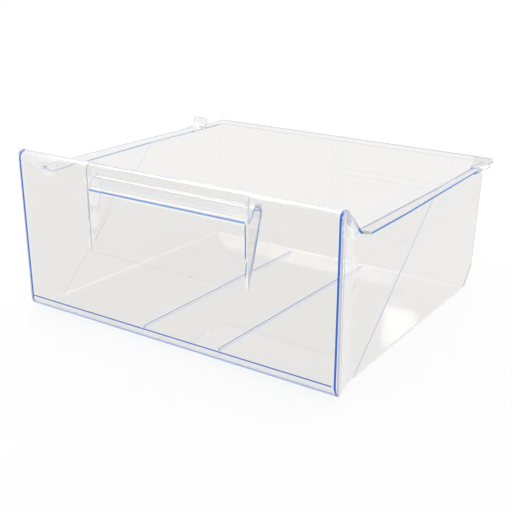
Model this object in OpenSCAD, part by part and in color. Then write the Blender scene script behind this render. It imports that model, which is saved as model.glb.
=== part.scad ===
// Clear freezer drawer, moulded in one piece.
// X runs across the drawer, Y from the front panel to the rear wall, Z up.
// The origin is on the resting plane, under the middle of the drawer.

/* [Front panel] */
// Width across the front panel at its top
front_w = 402; // [380:1:410]
// Height of the front panel over the resting plane
front_h = 180; // [170:1:210]
// Radius of the roll along the top of the panel
roll_r = 8; // [7:0.5:10]
// Radius between the panel and the floor
front_fillet = 13; // [10:0.5:18]
// Radius of the upright corners of the panel
front_corner_r = 3; // [1.5:0.5:4]

/* [Tub] */
// Distance from the front face to the outside of the rear wall
tub_d = 344; // [320:1:380]
// Width across the side walls behind the flare
tub_w = 386; // [380:1:390]
// Width across the side walls at the top of the rear wall
rear_w = 376; // [366:1:380]
// Height of the rim over the resting plane, at the inner edge of the walls
rim_z = 150.5; // [145:0.5:158]
// Thickness of the moulded walls
wall = 2.5; // [2:0.1:3]
// Depth along Y of the flare behind the panel
flare_d = 38; // [34:1:46]
// Distance from the front face to the upper end of the side crease
crease_y = 205; // [180:1:230]
// Height of the slope below the rear wall
chamfer_h = 30; // [20:1:36]
// Depth along Y of the slope below the rear wall
chamfer_d = 23; // [16:1:32]
// Radius along the lower side edges
side_fillet = 6; // [4:0.5:9]
// Radius of the upright rear corners
rear_corner_r = 6; // [4:0.5:9]

/* [Flanges and stops] */
// Half width over the side flanges near the front
flange_front_x = 207; // [204:0.5:210]
// Half width over the side flanges a third of the way back
flange_mid_x = 206.2; // [203:0.1:209]
// Half width over the side flanges near the rear
flange_rear_x = 199.5; // [197:0.5:204]
// Rise of the flanges towards their outer edges, in degrees
flange_rise = 9; // [4:1:12]
// Half width over the rear stops
stop_x = 207; // [204:1:210]
// Distance from the front face to the face of the rear stops
stop_y = 311; // [300:1:316]
// Height of the rear stops over the side flanges
stop_h = 11.5; // [8:0.5:16]
// Depth of the rear flange behind the rear wall
rear_flange = 10; // [6:0.5:12]

/* [Handle] */
// Half width of the hand opening
grip_x = 99; // [80:1:120]
// Set-back of the grip behind the front face
grip_recess = 3; // [2:0.5:3.5]
// Height of the lower edge of the grip
grip_low = 150.5; // [145:0.5:152]
// Height of the lower edge of the hand opening
scoop_low = 86; // [76:1:100]
// Lean of the back of the scoop from upright, in degrees
scoop_lean = 18.8; // [16:0.2:20]
// Lean of the ceiling of the scoop from upright, in degrees
ceiling_lean = 34.6; // [33:0.2:36]
// Radius over the top of the scoop
scoop_r = 6.3; // [5.5:0.1:7]

/* [Floor ribs] */
// Distance of each rib from the middle
rib_x = 50; // [30:1:80]
// Width of a rib
rib_w = 2; // [1.5:0.1:3]
// Height of a rib over the floor
rib_h = 2.5; // [1.5:0.1:4]
// Distance from the front face to the front end of a rib
rib_front = 24; // [20:1:40]
// Distance from the front face to the rear end of a rib
rib_rear = 309; // [280:1:312]

/* [Hidden] */

depth = tub_d + rear_flange;
arc_steps = 8;
far = 60;
past = 5;

// The crest of the panel, where the roll ends and the ramps begin
crest_y = roll_r + 1;
crest_r = 0.8;
ramp_foot = 39;
ramp_foot_r = 14;
// The lip under the outer edge of a ramp
lip_h = 9;
lip_end = 40;
lip_r = 6;
// Outer edge of the ramps, and the turns of the flange's outer edge in plan
ramp_x = front_w / 2 - 0.5;
ramp_end = ramp_foot - 4;
ramp_end_r = 2;
flange_front_r = 4;
flange_mid_y = tub_d / 3;
flange_mid_r = 300;
flange_rear_y = stop_y - 26;
flange_rear_r = 20;
stop_edge_r = 1;
rear_flange_r = 8;
// The panel's side edge, and the rounding at both ends of the flare
panel_side = 6;
flare_start = 2;
flare_foot_r = 40;
flare_turn = atan((front_w - tub_w) / 2 / (flare_d - panel_side));
flare_end = flare_foot_r * tan(flare_turn / 2);
crease_foot = flare_d + flare_end;
// Flat steps of the flare and of the bend at its foot
bend_steps = 4;
// The inside of a rounding never gets sharper than this
least_r = 0.8;
// Rounding at both ends of the slope below the rear wall
chamfer_r = 8;
// Draft of the panel and the front side facets: sideways run for each mm of height
draft = 1 / rim_z;
// Sideways lean of the rear side facets, so that the crease ends at the flare's foot
rear_slope = (tub_w - rear_w) / 2 / (tub_d - crease_y);
rear_tilt = draft + rear_slope * (crease_y - crease_foot) / rim_z;

// The upright stops curve up out of the flanges
stop_r = 9;
stop_root = 6;
// The rim behind the stops, and the line along which the flanges begin to rise
rim_root = wall / 2;
rear_rim_x = rear_w / 2 + 8;
rise_x = tub_w / 2 - wall;
rise_y = tub_d - wall;

// A corner between two neighbours, rounded to radius r
function unit(v) = v / norm(v);
function corner_arc(p, q, s, r) =
    r < 0.05 ? [q] :
    let (
        u = unit(p - q),
        v = unit(s - q),
        half = acos(u * v) / 2,
        c = q + unit(u + v) * r / sin(half),
        first = q + u * r / tan(half) - c,
        last = q + v * r / tan(half) - c,
        a0 = atan2(first[1], first[0]),
        a1 = atan2(last[1], last[0]),
        turn = a1 - a0 > 180 ? a1 - a0 - 360 : a1 - a0 < -180 ? a1 - a0 + 360 : a1 - a0
    )
    [for (i = [0 : arc_steps]) c + r * [cos(a0 + turn * i / arc_steps), sin(a0 + turn * i / arc_steps)]];

// Corners are [a, b, r], listed anticlockwise
function at(c, i) = let (k = c[(i + len(c)) % len(c)]) [k[0], k[1]];
function rounded(c) =
    [for (i = [0 : len(c) - 1]) each corner_arc(at(c, i - 1), at(c, i), at(c, i + 1), c[i][2])];

// The same corners moved inwards by d, with their radii kept concentric
function inward(p, q) = let (u = unit(q - p)) [-u[1], u[0]];
function inset(c, d) =
    [for (i = [0 : len(c) - 1])
        let (
            p = at(c, i - 1),
            q = at(c, i),
            s = at(c, i + 1),
            m = inward(p, q),
            n = inward(q, s),
            moved = q + (m + n) * d / (1 + m * n),
            grown = cross(q - p, s - q) > 0 ? c[i][2] - d : c[i][2] + d
        )
        [moved[0], moved[1], c[i][2] == 0 ? 0 : max(grown, 0)]];

// A profile of [y, z] points run along X from x0 to x1
module run_x(x0, x1) {
    translate([x0, 0, 0])
        rotate([90, 0, 90])
            linear_extrude(height = x1 - x0)
                children();
}

module both_sides() {
    children();
    mirror([1, 0, 0])
        children();
}

// Lengthwise outline of the tub below its rim, from the front foot round the rear slope
function foot_corners() = [
    [0, 0, front_fillet],
    [tub_d - chamfer_d, 0, chamfer_r],
    [tub_d, chamfer_h, chamfer_r]
];

// Outside of the tub, with the roll. Behind the crest the walls end inside the rim.
function outer_corners() = concat(foot_corners(), [
    [tub_d, rim_z - rim_root, 0],
    [ramp_foot, rim_z - rim_root, ramp_foot_r],
    [crest_y, front_h, crest_r],
    [0, front_h, roll_r]
]);

// The solid that stands behind a front face at y, with its top edge rounded to r
function panel_corners(y, r) = [
    [y, scoop_low, 0],
    [far, scoop_low, 0],
    [far, front_h, 0],
    [y, front_h, r]
];

// Inside of the tub, open at the top behind the crest
module inner_profile() {
    closed = concat(foot_corners(), [[tub_d, front_h + far, 0], [0, front_h + far, 0]]);
    difference() {
        polygon(rounded(inset(closed, wall)));
        translate([0, front_h - roll_r])
            square([crest_y, roll_r + 2 * far]);
    }
    intersection() {
        polygon(rounded(inset(panel_corners(0, roll_r), wall)));
        translate([wall, front_h - roll_r - 1])
            square([far - wall, far]);
    }
}

// Outside of a leaning side face with its lower edge rounded, as [out, z] points
function side_profile(lean, d, reach) =
    let (
        r = max(side_fillet - d, least_r),
        foot = [lean * (d - rim_z), d],
        top = front_h + far,
        head = [lean * (top - rim_z), top],
        edge = corner_arc(head, foot, foot - [far, 0], r)
    )
    concat(
        [head],
        edge,
        [[edge[arc_steps][0], -past], [reach, -past], [reach, top]]
    );

// Everything outside a side face that starts at plan point p and is turned by turn from Y
module side_cut(p, turn, lean, d, before, behind, reach = far) {
    translate([p[0], p[1], 0])
        rotate([0, 0, turn])
            translate([-d, behind, 0])
                rotate([90, 0, 0])
                    linear_extrude(height = before + behind)
                        polygon(side_profile(lean, d, reach));
}

// Everything outside the panel's upright side edge and the turn into the flare
module edge_cut(d) {
    side_cut([front_w / 2, panel_side], 0, draft, d, panel_side + past, past);
    side_cut([front_w / 2, panel_side - flare_start], flare_turn / 2, draft, d, past, past + flare_start);
}

// Everything outside the flare and the hollow bend at its foot
module flare_cut(d) {
    intersection_for (i = [1 : bend_steps]) {
        turn = flare_turn * i / bend_steps;
        touch = [tub_w / 2 + flare_foot_r * (1 - cos(turn)), crease_foot - flare_foot_r * sin(turn)];
        side_cut(touch, turn, draft, d, far, tub_d + far, front_w);
    }
}

// Everything outside the two long facets of a side wall, which meet in the crease
module long_side_cut(d) {
    start = [tub_w / 2 + rear_slope * (crease_y - crease_foot), crease_foot];
    side_cut([tub_w / 2, crease_foot], 0, draft, d, far, tub_d);
    side_cut(start, atan(rear_slope), rear_tilt, d, far, tub_d);
}

// Everything outside an upright corner at k, rounded to r. One leg runs to the middle
// of the tub, the other along the direction given.
module corner_cut(k, leg, r, lean) {
    arc = corner_arc(k - [far, 0], k, k + leg * far, r);
    away = leg[1] > 0 ? -past : past;
    translate([0, 0, rim_z])
        rotate([0, atan(lean), 0])
            translate([0, 0, -rim_z - far])
                linear_extrude(height = front_h + 2 * far)
                    polygon(concat(
                        arc,
                        [arc[arc_steps] + [past, 0], k + [past, away], [arc[0][0], k[1] + away]]
                    ));
}

// A solid tub, inset by d, with its sides, crease and upright corners cut to shape
module trimmed(d) {
    // Plan line of the rear facet at the height of the rim
    leg = unit([rear_slope, -1]);
    out = [-leg[1], leg[0]];
    top_b = [rear_w / 2, tub_d] - out * d;
    rear = top_b + leg * (top_b[1] - tub_d + d) / -leg[1];
    difference() {
        children();
        both_sides()
            edge_cut(d);
        both_sides()
            intersection() {
                flare_cut(d);
                long_side_cut(d);
            }
        both_sides() {
            corner_cut([front_w / 2 - d, d], [0, 1], max(front_corner_r - d, least_r), draft);
            corner_cut(rear, leg, rear_corner_r - d, rear_tilt);
        }
    }
}

module cavity() {
    trimmed(wall)
        run_x(-front_w / 2, front_w / 2)
            inner_profile();
}

module shell() {
    difference() {
        trimmed(0)
            run_x(-front_w / 2, front_w / 2)
                polygon(rounded(outer_corners()));
        cavity();
    }
}

// Profile of a side flange: down the ramp, level, then up into the stop
module flange_band() {
    top = [
        [-far, rim_z - far, 0],
        [tub_d, rim_z - far, 0],
        [tub_d, front_h + far, 0],
        [stop_y, front_h + far, 0],
        [stop_y, rim_z, stop_r],
        [ramp_foot, rim_z, ramp_foot_r],
        [crest_y, front_h, crest_r],
        [-far, front_h, 0]
    ];
    intersection() {
        difference() {
            polygon(rounded(top));
            polygon(rounded(inset(top, wall)));
        }
        translate([crest_y - 1, rim_z - wall])
            square([stop_y + wall - crest_y + 1, front_h]);
    }
}

// Level profile of the rim behind a stop, rooted in the curve of the stop
module rear_band() {
    translate([stop_y - stop_root, rim_z - wall])
        square([depth - stop_y + stop_root, wall]);
}

// What is kept of the side rims, with level tops on the crest and on the stops
module rim_limit() {
    square([stop_y - 2 * stop_r, front_h]);
    square([depth, rim_z + stop_h]);
}

// Half plan of the rim outside the walls: ramp, side flange, stop and rear flange
module rim_plan() {
    polygon(rounded([
        [0, 0, 0],
        [ramp_x, 0, 0],
        [ramp_x, ramp_end, ramp_end_r],
        [flange_front_x, ramp_foot, flange_front_r],
        [flange_mid_x, flange_mid_y, flange_mid_r],
        [flange_rear_x, flange_rear_y, flange_rear_r],
        [stop_x, stop_y - stop_edge_r, stop_edge_r],
        [stop_x, stop_y + wall, 0],
        [rear_rim_x, stop_y + wall, 0],
        [rear_rim_x, depth, rear_flange_r],
        [0, depth, 0]
    ]));
}

// Plan of the part of the rim that rises sideways. It meets the rear flange in a mitre.
module side_zone() {
    reach = stop_x + far;
    polygon([
        [0, 0],
        [reach, 0],
        [reach, rise_y + reach - rise_x],
        [rise_x, rise_y],
        [0, rise_y]
    ]);
}

// A profile run out to x1, raised towards the right
module risen(x1) {
    translate([rise_x, 0, rim_z])
        rotate([0, -flange_rise, 0])
            translate([-rise_x, 0, -rim_z])
                run_x(rear_w / 2 - 2 * wall, x1)
                    children();
}

module side_flange() {
    intersection() {
        union() {
            risen(stop_x + far)
                flange_band();
            risen(rear_rim_x)
                rear_band();
        }
        linear_extrude(height = front_h)
            intersection() {
                rim_plan();
                side_zone();
            }
        run_x(0, stop_x + far)
            rim_limit();
    }
}

// An upright lip under the outer edge of a ramp, from the panel's side to the flange
module ramp_lip() {
    fall = (front_h - rim_z) / (ramp_foot - crest_y);
    under = front_h - (lip_end - crest_y) * fall;
    run_x(ramp_x - wall, ramp_x)
        polygon(rounded([
            [panel_side, front_h - lip_h, 0],
            [lip_end - lip_h / fall, under, lip_r],
            [lip_end, under - 1, 0],
            [lip_end, rim_z, 0],
            [ramp_foot, rim_z, ramp_foot_r],
            [crest_y, front_h - 1, 0],
            [panel_side, front_h - 1, 0]
        ]));
}

// The flange behind the rear wall rises backwards
module rear_flange_plate() {
    intersection() {
        translate([0, rise_y, rim_z])
            rotate([flange_rise, 0, 0])
                translate([-stop_x, -wall, -wall])
                    cube([2 * stop_x, far, wall]);
        linear_extrude(height = front_h)
            both_sides()
                difference() {
                    rim_plan();
                    side_zone();
                }
    }
}

// A floor rib with its ends sloped down to the floor
module floor_rib() {
    foot = wall / 2;
    top = wall + rib_h;
    end_r = 1.5;
    run_x(rib_x - rib_w / 2, rib_x + rib_w / 2)
        polygon(rounded([
            [rib_front - rib_h, foot, 0],
            [rib_rear + rib_h, foot, 0],
            [rib_rear, top, end_r],
            [rib_front, top, end_r]
        ]));
}

// The scoop behind the grip: the ceiling and the back lean towards one apex
function scoop_corners() =
    let (
        low = grip_recess + wall,
        run = low + (scoop_low - grip_low) * tan(ceiling_lean),
        rise = run / (tan(scoop_lean) - tan(ceiling_lean)),
        apex = [rise * tan(scoop_lean), scoop_low + rise]
    )
    [
        [-far, scoop_low, 0],
        [0, scoop_low, 0],
        [apex[0], apex[1], scoop_r],
        [low, grip_low, 0],
        [-far, grip_low, 0]
    ];

// Back, ceiling and end walls of the scoop, still filled
module scoop_block() {
    run_x(-grip_x - wall, grip_x + wall)
        intersection() {
            polygon(rounded(inset(scoop_corners(), -wall)));
            square([far, front_h]);
        }
}

module scoop_space() {
    run_x(-grip_x, grip_x)
        polygon(rounded(scoop_corners()));
}

// The sheet of a panel with its front face at y, from the face in to the depth given
module panel_sheet(low, inner_y, inner_r) {
    intersection() {
        difference() {
            children();
            polygon(rounded(inset(panel_corners(inner_y, inner_r), wall)));
        }
        translate([0, low])
            square([crest_y, front_h]);
    }
}

// The upper end walls of the grip, as deep as the step and the wall together
module grip_end() {
    run_x(grip_x, grip_x + wall)
        panel_sheet(grip_low - 1, grip_recess, roll_r - grip_recess)
            polygon(rounded(panel_corners(0, roll_r)));
}

// The grip itself, a thin wall that hangs in front of the scoop
module grip() {
    run_x(-grip_x - wall / 2, grip_x + wall / 2)
        panel_sheet(grip_low, grip_recess, roll_r - grip_recess)
            polygon(rounded(panel_corners(grip_recess, roll_r - grip_recess)));
}

// What stands before the face of the grip
module grip_relief() {
    run_x(-grip_x, grip_x)
        difference() {
            translate([-past, grip_low - 1])
                square([crest_y + past, front_h]);
            polygon(rounded(panel_corners(grip_recess, roll_r - grip_recess)));
        }
}

module rim() {
    difference() {
        union() {
            both_sides() {
                side_flange();
                ramp_lip();
            }
            rear_flange_plate();
        }
        cavity();
    }
}

module drawer() {
    color([0.88, 0.92, 0.97])
        translate([0, -depth / 2, 0]) {
            difference() {
                union() {
                    shell();
                    rim();
                    both_sides()
                        floor_rib();
                    scoop_block();
                }
                scoop_space();
                grip_relief();
            }
            both_sides()
                grip_end();
            grip();
        }
}

drawer();
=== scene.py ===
# Looks, light and camera for the clear freezer drawer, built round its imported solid.
import math

import bpy
from mathutils import Matrix, Vector

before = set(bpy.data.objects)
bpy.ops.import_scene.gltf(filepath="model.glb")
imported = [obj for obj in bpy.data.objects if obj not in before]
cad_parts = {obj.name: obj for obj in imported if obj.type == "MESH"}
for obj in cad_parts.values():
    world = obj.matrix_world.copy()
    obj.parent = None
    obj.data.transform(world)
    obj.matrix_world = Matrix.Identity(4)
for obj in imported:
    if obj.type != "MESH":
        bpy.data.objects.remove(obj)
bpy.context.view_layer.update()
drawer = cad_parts["drawer"]
print("frame loaded")

# The solid's own sizes in millimetres, as its source names them.
# Here y is counted from the front face, as there.
body = {
    "halfDepth": 177.0,
    "frontHalf": 201.0,
    "footHalf": 199.8,       # half width of the panel above its lower curve
    "frontHeight": 180.0,
    "rollRadius": 8.0,
    "frontFillet": 13.0,
    "wall": 2.5,
    "rimHeight": 150.5,
    "tubHalf": 193.0,
    "creaseTop": 205.0,
    "creaseFoot": 42.0,
    "gripHalf": 99.0,
    "gripRecess": 3.0,
    "gripLow": 150.5,
    "scoopLow": 86.0,
    "ribX": 50.0,
    "ribTop": 5.0,
    "ribFront": 24.0,
    "ribRear": 309.0,
    "flangeFront": 207.0,
    "flangeMiddle": 206.2,
    "flangeRear": 199.5,
    "flangeTop": 152.8,
    "flangeStart": 38.0,
    "rampX": 200.5,
    "stopY": 311.0,
}


def place(x, y, z):
    # millimetres from the front face to metres in the shared frame
    return Vector((x / 1000, (y - body["halfDepth"]) / 1000, z / 1000))


# The plastic

plastic = {
    "name": "clearPlastic",
    "roughness": 0.025,
    "ior": 1.58,
    "shadowTint": (0.972, 0.974, 0.978, 1.0),
    "absorbTint": (0.45, 0.56, 0.88, 1.0),
    "absorbDensity": 4.0,                 # per metre, so only long paths turn blue
    "waveScale": 9.0,                     # the faint unevenness of a moulded face
    "waveDetail": 1.5,
    "waveStrength": 0.035,
    "waveHeight": 0.01,
    "trappedDepth": 14.0,                 # surfaces crossed before light counts as carried
    "carried": (0.60, 0.61, 0.64, 1.0),   # colour of the light that a wall carries to its edges
    "shades": [                           # painted edge glow: from the plain wall to the deepest blue glow of an edge
        (0.00, (0.900, 0.893, 0.878, 1.0)),
        (0.35, (0.330, 0.470, 0.760, 1.0)),
        (0.70, (0.008, 0.120, 0.620, 1.0)),
        (1.00, (0.0002, 0.014, 0.400, 1.0)),
    ],
    "leftInset": 0.0025,                  # the left corner line lies this much further in
    "lineBlend": 8.0,                     # how fast a line takes over from the plain wall
    "soft": 0.25,                         # share of a line's half width that fades out
    "farSide": 0.30,                      # share of the glow left on the side away from the light
    "middle": 0.01,                       # half the width over which the glow drops to it
    "lines": {                            # painted glow lines: half width in millimetres and strength
        "corner": (1.25, 1.0),
        "curveUpper": (0.75, 1.0),
        "curveLower": (1.6, 0.95),
        "gripEdge": (1.1, 0.66),
        "openingFoot": (0.5, 0.12),
        "openingSide": (0.9, 0.95),
        "scoopEnd": (0.7, 0.75),
        "crease": (0.5, 0.8),
        "flange": (1.4, 0.82),
        "rimFront": (1.0, 1.0),
        "rimRear": (0.8, 0.8),
        "rib": (0.9, 0.85),
    },
    "clear": (0.98, 0.98, 0.985, 1.0),    # painted sheen: the wall turns this near-white in the sheen zones
    # painted sheen: the carried light is paler in the sheen zones too
    "sheenCarried": (0.80, 0.82, 0.88, 1.0),
    "sheenZones": {                            # radius in millimetres of the painted sheen zones
        "corner": 5.0,
        "ramp": 9.0,
        "rib": 5.0,
        "behindGrip": [                   # y, z and radius
            (4.5, 161.0, 6.0),
            (8.5, 154.5, 2.7),
            (12.5, 158.0, 5.0),
            (19.0, 160.0, 6.5),
            (22.0, 146.0, 6.0),
        ],
        "scoopEnd": [                     # y, z and radius, as above
            (5.0, 95.0, 9.0),
            (10.0, 118.0, 12.0),
            (13.0, 145.0, 15.0),
        ],
    },
}

allWays = (1.0, 1.0, 1.0)
acrossSide = (0.2, 1.0, 1.0)   # across a side wall only a fifth of the distance counts
alongSide = (4.0, 1.0, 1.0)    # and at the scoop's ends four times the distance


def chain(points, halfWidth, strength=1.0, counts=allWays):
    # a run of straight lines, with what lineMask has to know of each
    return [(a, b, halfWidth, strength, counts) for a, b in zip(points, points[1:])]


def cornerGlowLines(spec):
    # painted glow line at the roots of the side walls in the panel, up round the roll and down
    # round the lower curve
    half = body["frontHalf"]
    foot = body["footHalf"]
    top = body["frontHeight"]
    return chain([
        (half - 2.8, 6, top - 0.3),
        (half - 2.0, 2.3, top - 2.3),
        (half - 1.5, 0, top - body["rollRadius"]),
        (foot - 2.1, 0, body["frontFillet"]),
        (foot - 1.4, 3.0, 5.0),
    ], *spec["corner"])


def evenGlowLines(spec):
    # painted glow lines, alike on both sides
    foot = body["footHalf"]
    grip = body["gripHalf"]
    # both ends of the curve under the panel
    upper = body["frontFillet"] + 1.2
    lower = 3.8
    lines = chain([(0, 0, upper), (foot - 6, 0, upper)], *spec["curveUpper"])
    lines += chain([(0, lower, lower), (foot - 2, lower, lower)], *spec["curveLower"])
    # the grip's lower edge, and the faint lower edge of the hand opening
    front = body["gripRecess"]
    low = body["gripLow"] + 1
    scoop = body["scoopLow"]
    lines += chain([(0, front, low), (grip, front, low)], *spec["gripEdge"])
    lines += chain([(0, 0, scoop), (grip, 0, scoop)], *spec["openingFoot"])
    # the floor ribs
    x = body["ribX"]
    top = body["ribTop"]
    lines += chain([(x, body["ribFront"], top), (x, body["ribRear"], top)], *spec["rib"])
    return lines


def sidedGlowLines(spec):
    # painted glow lines, weaker on the side away from the light
    rim = body["rimHeight"]
    low = body["gripLow"]
    start = body["flangeStart"]
    # the side edges of the hand opening, and the end of the scoop behind them
    side = body["gripHalf"] + 0.4
    scoop = body["gripHalf"] + 2.5
    lines = chain([(side, 0, low), (side, 0, low - 32)], *spec["openingSide"])
    lines += chain([
        (scoop, 7, low + 3),
        (scoop, 13, low + 12),
        (scoop, 24, low + 9),
        (scoop, 6, body["scoopLow"] + 8),
    ], *spec["scoopEnd"])
    # the crease across each side wall
    lines += chain([
        (body["tubHalf"], body["creaseTop"], rim - 3),
        (body["tubHalf"] - 1, body["creaseFoot"] + 2, 4),
    ], *spec["crease"], acrossSide)
    # down the ramp's outer edge and along the flange
    edge = body["flangeTop"] - 1.2
    out = 0.5
    lines += chain([
        (body["rampX"] + 0.4, start - 7, rim + 7),
        (body["rampX"] + 1, start - 2, edge),
        (body["flangeFront"] + out, start + 6, edge),
        (body["flangeMiddle"] + out, body["halfDepth"] * 0.65, edge),
        (body["flangeRear"] + out, body["stopY"] - 26, edge),
        (body["flangeRear"] + out, body["stopY"] - 8, edge),
    ], *spec["flange"])
    # the inner edge of the rim, straight to the crease and then inwards
    inner = body["tubHalf"] - body["wall"]
    turn = (inner, body["creaseTop"], rim)
    lines += chain([(inner, start + 18, rim), turn], *spec["rimFront"])
    lines += chain([turn, (inner - 4, body["stopY"] + 20, rim)], *spec["rimRear"])
    return lines


def paintedSheenLines(spec):
    # painted sheen zones, where the wall is painted lighter: behind the grip, at the scoop's
    # ends, along the panel's sides, the ramps and the ribs
    end = body["gripHalf"] + 1
    sheenZones = []
    for y, z, radius in spec["behindGrip"]:
        sheenZones += chain([(0, y, z), (end, y, z)], radius)
    for y, z, radius in spec["scoopEnd"]:
        sheenZones += chain([(end, y, z), (end + 1, y, z)], radius, counts=alongSide)
    half = body["frontHalf"]
    foot = body["footHalf"]
    top = body["frontHeight"]
    sheenZones += chain([
        (half, 3, top - 4),
        (half, 3, top - body["rollRadius"]),
        (foot, 3, body["frontFillet"]),
        (foot - 2, 5, 5),
    ], spec["corner"])
    ramp = body["rampX"] - 4
    sheenZones += chain([
        (ramp, 9, top - 1),
        (ramp, body["flangeStart"], body["rimHeight"]),
    ], spec["ramp"])
    x = body["ribX"]
    z = body["ribTop"] - 1
    sheenZones += chain([(x, body["ribFront"], z), (x, body["ribRear"], z)], spec["rib"])
    return sheenZones


def addNode(tree, kind, **settings):
    node = tree.nodes.new(kind)
    for key, value in settings.items():
        setattr(node, key, value)
    return node


def feed(tree, socket, value):
    # a socket gets a link, or a plain value
    if isinstance(value, bpy.types.NodeSocket):
        tree.links.new(value, socket)
    else:
        socket.default_value = value


def mathStep(tree, operation, *values):
    node = addNode(tree, "ShaderNodeMath", operation=operation)
    for socket, value in zip(node.inputs, values):
        feed(tree, socket, value)
    return node.outputs[0]


def vectorStep(tree, operation, first, second, result="Vector"):
    node = addNode(tree, "ShaderNodeVectorMath", operation=operation)
    feed(tree, node.inputs[0], first)
    feed(tree, node.inputs["Scale" if operation == "SCALE" else 1], second)
    return node.outputs[result]


def fadeStep(tree, value, fromMin, fromMax, toMin, toMax, kind="SMOOTHSTEP"):
    node = addNode(tree, "ShaderNodeMapRange", interpolation_type=kind)
    ends = {"From Min": fromMin, "From Max": fromMax, "To Min": toMin, "To Max": toMax}
    feed(tree, node.inputs["Value"], value)
    for name, end in ends.items():
        node.inputs[name].default_value = end
    return node.outputs[0]


def blendColour(tree, share, first, second):
    node = addNode(tree, "ShaderNodeMix", data_type="RGBA", clamp_factor=True)
    feed(tree, node.inputs["Factor"], share)
    colours = [socket for socket in node.inputs if socket.type == "RGBA"]
    feed(tree, colours[0], first)
    feed(tree, colours[1], second)
    return [socket for socket in node.outputs if socket.type == "RGBA"][0]


def blendShader(tree, share, first, second):
    node = addNode(tree, "ShaderNodeMixShader")
    feed(tree, node.inputs["Fac"], share)
    tree.links.new(first, node.inputs[1])
    tree.links.new(second, node.inputs[2])
    return node.outputs["Shader"]


def foldedPoint(tree, inset=0.0):
    # the place on the drawer, with the left half folded onto the right one
    coords = addNode(tree, "ShaderNodeTexCoord")
    split = addNode(tree, "ShaderNodeSeparateXYZ")
    tree.links.new(coords.outputs["Object"], split.inputs[0])
    x = split.outputs["X"]
    left = mathStep(tree, "MULTIPLY_ADD", x, -1.0, inset)
    point = addNode(tree, "ShaderNodeCombineXYZ")
    tree.links.new(mathStep(tree, "MAXIMUM", x, left), point.inputs["X"])
    tree.links.new(split.outputs["Y"], point.inputs["Y"])
    tree.links.new(split.outputs["Z"], point.inputs["Z"])
    return point.outputs[0], x


def lineMask(tree, point, lines, soft):
    # the strength on the lines and 0 away from them, from the distance to each line
    total = None
    for start, end, halfWidth, strength, counts in lines:
        here = point
        if counts != allWays:
            here = vectorStep(tree, "MULTIPLY", point, counts)
        first = place(*start) * Vector(counts)
        along = place(*end) * Vector(counts) - first
        away = vectorStep(tree, "SUBTRACT", here, first)
        share = vectorStep(tree, "DOT_PRODUCT", away, along / along.length_squared, "Value")
        held = addNode(tree, "ShaderNodeClamp")
        tree.links.new(share, held.inputs[0])
        nearest = vectorStep(tree, "SCALE", along, held.outputs[0])
        gap = vectorStep(tree, "DISTANCE", away, nearest, "Value")
        outer = halfWidth / 1000
        glow = fadeStep(tree, gap, outer, outer * (1 - soft), 0.0, strength)
        total = glow if total is None else mathStep(tree, "MAXIMUM", total, glow)
    return total


def paintedEdgeGlow(tree, spec, point, x, plain):
    # painted glow: from the plain wall to the blue glow painted along its edges, standing in for
    # light carried along the walls
    lines = spec["lines"]
    soft = spec["soft"]
    middle = spec["middle"]
    # the painted glow is dimmer on the side away from the light
    farSideDimming = fadeStep(tree, x, -middle, middle, spec["farSide"], 1.0, "LINEAR")
    uneven = lineMask(tree, point, sidedGlowLines(lines), soft)
    total = mathStep(tree, "MULTIPLY", uneven, farSideDimming)
    even = lineMask(tree, point, evenGlowLines(lines), soft)
    total = mathStep(tree, "MAXIMUM", total, even)
    # the left corner's line shows further in
    cornerPoint = foldedPoint(tree, spec["leftInset"])[0]
    corner = lineMask(tree, cornerPoint, cornerGlowLines(lines), soft)
    total = mathStep(tree, "MAXIMUM", total, corner)
    ramp = addNode(tree, "ShaderNodeValToRGB")
    stops = ramp.color_ramp.elements
    while len(stops) < len(spec["shades"]):
        stops.new(0.5)
    for stop, (spot, colour) in zip(stops, spec["shades"]):
        stop.position = spot
        stop.color = colour
    tree.links.new(total, ramp.inputs["Fac"])
    onLine = mathStep(tree, "MULTIPLY", total, spec["lineBlend"])
    return blendColour(tree, onLine, plain, ramp.outputs["Color"])


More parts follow.
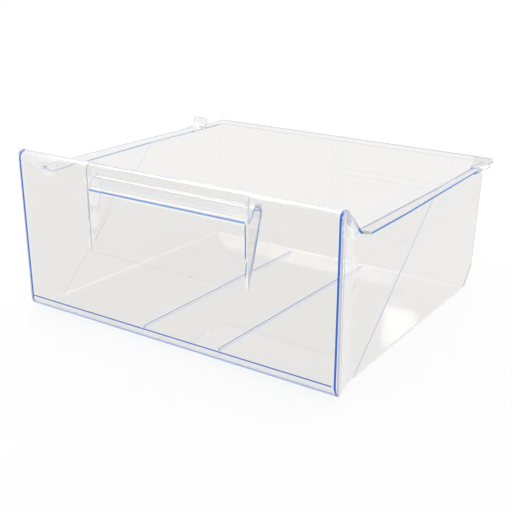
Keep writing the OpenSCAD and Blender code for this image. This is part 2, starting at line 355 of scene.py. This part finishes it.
def makePlastic(spec):
    # real refraction through the wall, a painted blue glow along its edges, painted sheen in a
    # few zones, and a clear shadow
    material = bpy.data.materials.new(spec["name"])
    material.use_nodes = True
    tree = material.node_tree
    tree.nodes.clear()
    out = addNode(tree, "ShaderNodeOutputMaterial")
    shader = addNode(tree, "ShaderNodeBsdfPrincipled")
    shader.inputs["Roughness"].default_value = spec["roughness"]
    shader.inputs["IOR"].default_value = spec["ior"]
    shader.inputs["Transmission Weight"].default_value = 1.0
    point, x = foldedPoint(tree)
    # painted sheen: in these zones the plain wall is painted near-white
    sheenMask = lineMask(tree, point, paintedSheenLines(spec["sheenZones"]), spec["soft"])
    plain = blendColour(tree, sheenMask, spec["shades"][0][1], spec["clear"])
    colour = paintedEdgeGlow(tree, spec, point, x, plain)
    tree.links.new(colour, shader.inputs["Base Color"])
    # the faint unevenness of a moulded face
    coords = addNode(tree, "ShaderNodeTexCoord")
    noise = addNode(tree, "ShaderNodeTexNoise")
    noise.inputs["Scale"].default_value = spec["waveScale"]
    noise.inputs["Detail"].default_value = spec["waveDetail"]
    bump = addNode(tree, "ShaderNodeBump")
    bump.inputs["Strength"].default_value = spec["waveStrength"]
    bump.inputs["Distance"].default_value = spec["waveHeight"]
    tree.links.new(coords.outputs["Object"], noise.inputs["Vector"])
    tree.links.new(noise.outputs["Fac"], bump.inputs["Height"])
    tree.links.new(bump.outputs["Normal"], shader.inputs["Normal"])
    # light that stays inside the wall comes out pale, as at the real edges
    path = addNode(tree, "ShaderNodeLightPath")
    carried = addNode(tree, "ShaderNodeEmission")
    # painted sheen: paler still in the sheen zones
    colour = blendColour(tree, sheenMask, spec["carried"], spec["sheenCarried"])
    tree.links.new(colour, carried.inputs["Color"])
    carried.inputs["Strength"].default_value = 1.0
    trapped = mathStep(tree, "GREATER_THAN", path.outputs["Ray Depth"], spec["trappedDepth"])
    inner = blendShader(tree, trapped, shader.outputs["BSDF"], carried.outputs["Emission"])
    # a lamp's light goes straight through
    clear = addNode(tree, "ShaderNodeBsdfTransparent")
    clear.inputs["Color"].default_value = spec["shadowTint"]
    mix = blendShader(tree, path.outputs["Is Shadow Ray"], inner, clear.outputs["BSDF"])
    tree.links.new(mix, out.inputs["Surface"])
    absorb = addNode(tree, "ShaderNodeVolumeAbsorption")
    absorb.inputs["Color"].default_value = spec["absorbTint"]
    absorb.inputs["Density"].default_value = spec["absorbDensity"]
    tree.links.new(absorb.outputs["Volume"], out.inputs["Volume"])
    return material


clearPlastic = makePlastic(plastic)
drawer.data.materials.clear()
drawer.data.materials.append(clearPlastic)
print("plastic made")

# The floor

floorSpec = {
    "size": 6.0,
    "drop": 0.0004,         # the floor lies a hair under the resting plane
    "colour": (0.98, 0.98, 0.98, 1.0),
    "plain": (1.0, 1.0, 1.0, 1.0),
    "shadowShare": 0.30,    # how much of what the camera sees is lit floor
    "throughShare": 0.9,    # least share of white seen through the clear walls
    "near": 0.45,           # the lit share fades out between these distances
    "far": 1.10,
}


def makeFloorMaterial(spec):
    # lit by the lamps, but mostly plain white for the camera, the gloss and the clear walls
    material = bpy.data.materials.new("paleFloor")
    material.use_nodes = True
    tree = material.node_tree
    tree.nodes.clear()
    out = addNode(tree, "ShaderNodeOutputMaterial")
    lit = addNode(tree, "ShaderNodeBsdfDiffuse")
    lit.inputs["Color"].default_value = spec["colour"]
    white = addNode(tree, "ShaderNodeEmission")
    white.inputs["Color"].default_value = spec["plain"]
    white.inputs["Strength"].default_value = 1.0
    path = addNode(tree, "ShaderNodeLightPath")
    through = path.outputs["Is Transmission Ray"]
    seen = mathStep(tree, "MAXIMUM", path.outputs["Is Camera Ray"], path.outputs["Is Glossy Ray"])
    seen = mathStep(tree, "MAXIMUM", seen, through)
    # far away the floor is plain white
    coords = addNode(tree, "ShaderNodeTexCoord")
    reach = addNode(tree, "ShaderNodeVectorMath", operation="LENGTH")
    tree.links.new(coords.outputs["Object"], reach.inputs[0])
    near = 1.0 - spec["shadowShare"]
    fade = fadeStep(tree, reach.outputs["Value"], spec["near"], spec["far"], near, 1.0)
    share = mathStep(tree, "MULTIPLY", seen, fade)
    # and through the clear walls its shadow counts less
    least = mathStep(tree, "MULTIPLY", through, spec["throughShare"])
    share = mathStep(tree, "MAXIMUM", share, least)
    mix = blendShader(tree, share, lit.outputs["BSDF"], white.outputs["Emission"])
    tree.links.new(mix, out.inputs["Surface"])
    return material


def makeFloor(spec):
    half = spec["size"] / 2
    z = -spec["drop"]
    mesh = bpy.data.meshes.new("studioFloor")
    corners = [(-half, -half, z), (half, -half, z), (half, half, z), (-half, half, z)]
    mesh.from_pydata(corners, [], [(0, 1, 2, 3)])
    floor = bpy.data.objects.new("studioFloor", mesh)
    bpy.context.scene.collection.objects.link(floor)
    mesh.materials.append(makeFloorMaterial(spec))


makeFloor(floorSpec)
print("floor made")

# The world and lamps

studio = {
    "seen": (1.0, 1.0, 1.0, 1.0),          # what the camera and the clear walls see
    "reflected": (0.95, 0.95, 0.96, 1.0),  # what the gloss mirrors
    "lighting": (0.84, 0.84, 0.84, 1.0),   # what lights the floor
    "lamps": [
        # name, place, aim, width and height, watts
        ("softboxLeft", (-1.05, 0.30, 1.72), (0.0, -0.18, 0.18), (1.6, 0.9), 10.0),
        ("softboxRear", (0.4, 1.5, 1.6), (0.0, 0.1, 0.1), (0.8, 0.8), 3.0),
        ("windowLeft", (-0.63, 1.64, 0.82), (0.177, -0.006, 0.0), (0.10, 0.14), 0.07),
    ],
}


def makeWorld(spec):
    world = bpy.data.worlds.new("studioWorld")
    bpy.context.scene.world = world
    world.use_nodes = True
    tree = world.node_tree
    tree.nodes.clear()
    out = addNode(tree, "ShaderNodeOutputWorld")
    path = addNode(tree, "ShaderNodeLightPath")
    shades = {}
    for key in ("seen", "reflected", "lighting"):
        shade = addNode(tree, "ShaderNodeBackground")
        shade.inputs["Color"].default_value = spec[key]
        shade.inputs["Strength"].default_value = 1.0
        shades[key] = shade.outputs["Background"]
    gloss = path.outputs["Is Glossy Ray"]
    mix = blendShader(tree, gloss, shades["lighting"], shades["reflected"])
    through = path.outputs["Is Transmission Ray"]
    seen = mathStep(tree, "MAXIMUM", path.outputs["Is Camera Ray"], through)
    mix = blendShader(tree, seen, mix, shades["seen"])
    tree.links.new(mix, out.inputs["Surface"])


def makeLamps(spec):
    for name, spot, aim, size, watts in spec["lamps"]:
        data = bpy.data.lights.new(name, "AREA")
        data.shape = "RECTANGLE"
        data.size, data.size_y = size
        data.energy = watts
        lamp = bpy.data.objects.new(name, data)
        lamp.location = spot
        facing = Vector(aim) - Vector(spot)
        lamp.rotation_euler = facing.to_track_quat("-Z", "Y").to_euler()
        bpy.context.scene.collection.objects.link(lamp)


makeWorld(studio)
makeLamps(studio)
print("light made")

# The camera, solved from the straight edges in the photograph, and the render

view = {
    "azimuth": 35.21,
    "elevation": 19.89,
    "roll": -0.30,
    "focal": 965.09,       # in pixels of a frame 512 wide
    "frame": 512,
    "sensor": 36.0,
    "nearest": 0.01,       # nothing closer to the lens is drawn
    "place": (0.58983, -0.85481, 0.42353),
    "bounces": 24,         # light crosses many walls before it leaves at an edge
}


def makeCamera(spec):
    data = bpy.data.cameras.new("photoCamera")
    data.sensor_width = spec["sensor"]
    data.lens = spec["focal"] / spec["frame"] * spec["sensor"]
    data.clip_start = spec["nearest"]
    camera = bpy.data.objects.new("photoCamera", data)
    turn = math.radians(spec["azimuth"])
    tilt = math.radians(spec["elevation"])
    roll = math.radians(spec["roll"])
    back = Vector((
        math.sin(turn) * math.cos(tilt),
        -math.cos(turn) * math.cos(tilt),
        math.sin(tilt),
    ))
    right = (-back).cross(Vector((0, 0, 1))).normalized()
    up = right.cross(-back)
    across = right * math.cos(roll) + up * math.sin(roll)
    upward = up * math.cos(roll) - right * math.sin(roll)
    basis = Matrix((across, upward, back)).transposed().to_4x4()
    camera.matrix_world = Matrix.Translation(Vector(spec["place"])) @ basis
    bpy.context.scene.collection.objects.link(camera)
    bpy.context.scene.camera = camera


def setRender(spec):
    scene = bpy.context.scene
    scene.view_settings.view_transform = "Standard"
    scene.cycles.max_bounces = spec["bounces"]
    scene.cycles.glossy_bounces = spec["bounces"]
    scene.cycles.transmission_bounces = spec["bounces"]
    scene.cycles.transparent_max_bounces = spec["bounces"]


makeCamera(view)
setRender(view)
print("camera and render set")
